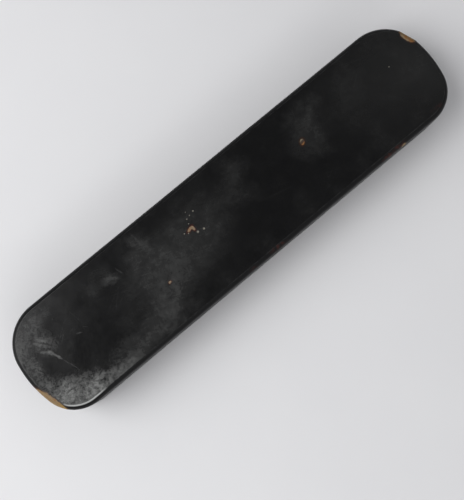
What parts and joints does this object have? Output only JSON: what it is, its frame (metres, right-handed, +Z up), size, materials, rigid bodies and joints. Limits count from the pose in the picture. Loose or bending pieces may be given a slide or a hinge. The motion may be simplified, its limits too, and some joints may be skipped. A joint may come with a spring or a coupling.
{
  "type": "lacquer pencil box",
  "caption": "Long narrow lacquered box with bowed, rounded ends and a lift-off lid that fits over an inner collar; holds pencils on a grooved rest, with a small end well.",
  "frame": {"origin": "middle of the underside of the closed box, on the surface that it stands on", "axes": "+X along the box's length, towards the end with the well; +Z up, the way the lid lifts off; +Y across the box"},
  "size_m": [0.225, 0.0498, 0.022],
  "materials": {
    "black_lacquer": "worn black lacquer, half gloss, rubbed and hazy in places",
    "red_lacquer": "dark red lacquer, satin",
    "lining_paper": "dark red lacquered paper, soft sheen"
  },
  "bodies": {
    "base": {"base_panel": "black_lacquer", "base_wall": "black_lacquer", "collar": "red_lacquer", "floor_lining": "lining_paper", "well_partition": "red_lacquer", "pencil_rest": "red_lacquer"},
    "lid": {"lid_panel": "black_lacquer", "lid_wall": "black_lacquer", "lid_lining": "lining_paper"}
  },
  "joints": [
    {"name": "lid_lift", "type": "slide", "parent": "base", "child": "lid", "axis": [0, 0, 1], "range_m": [0, 0.07]}
  ]
}
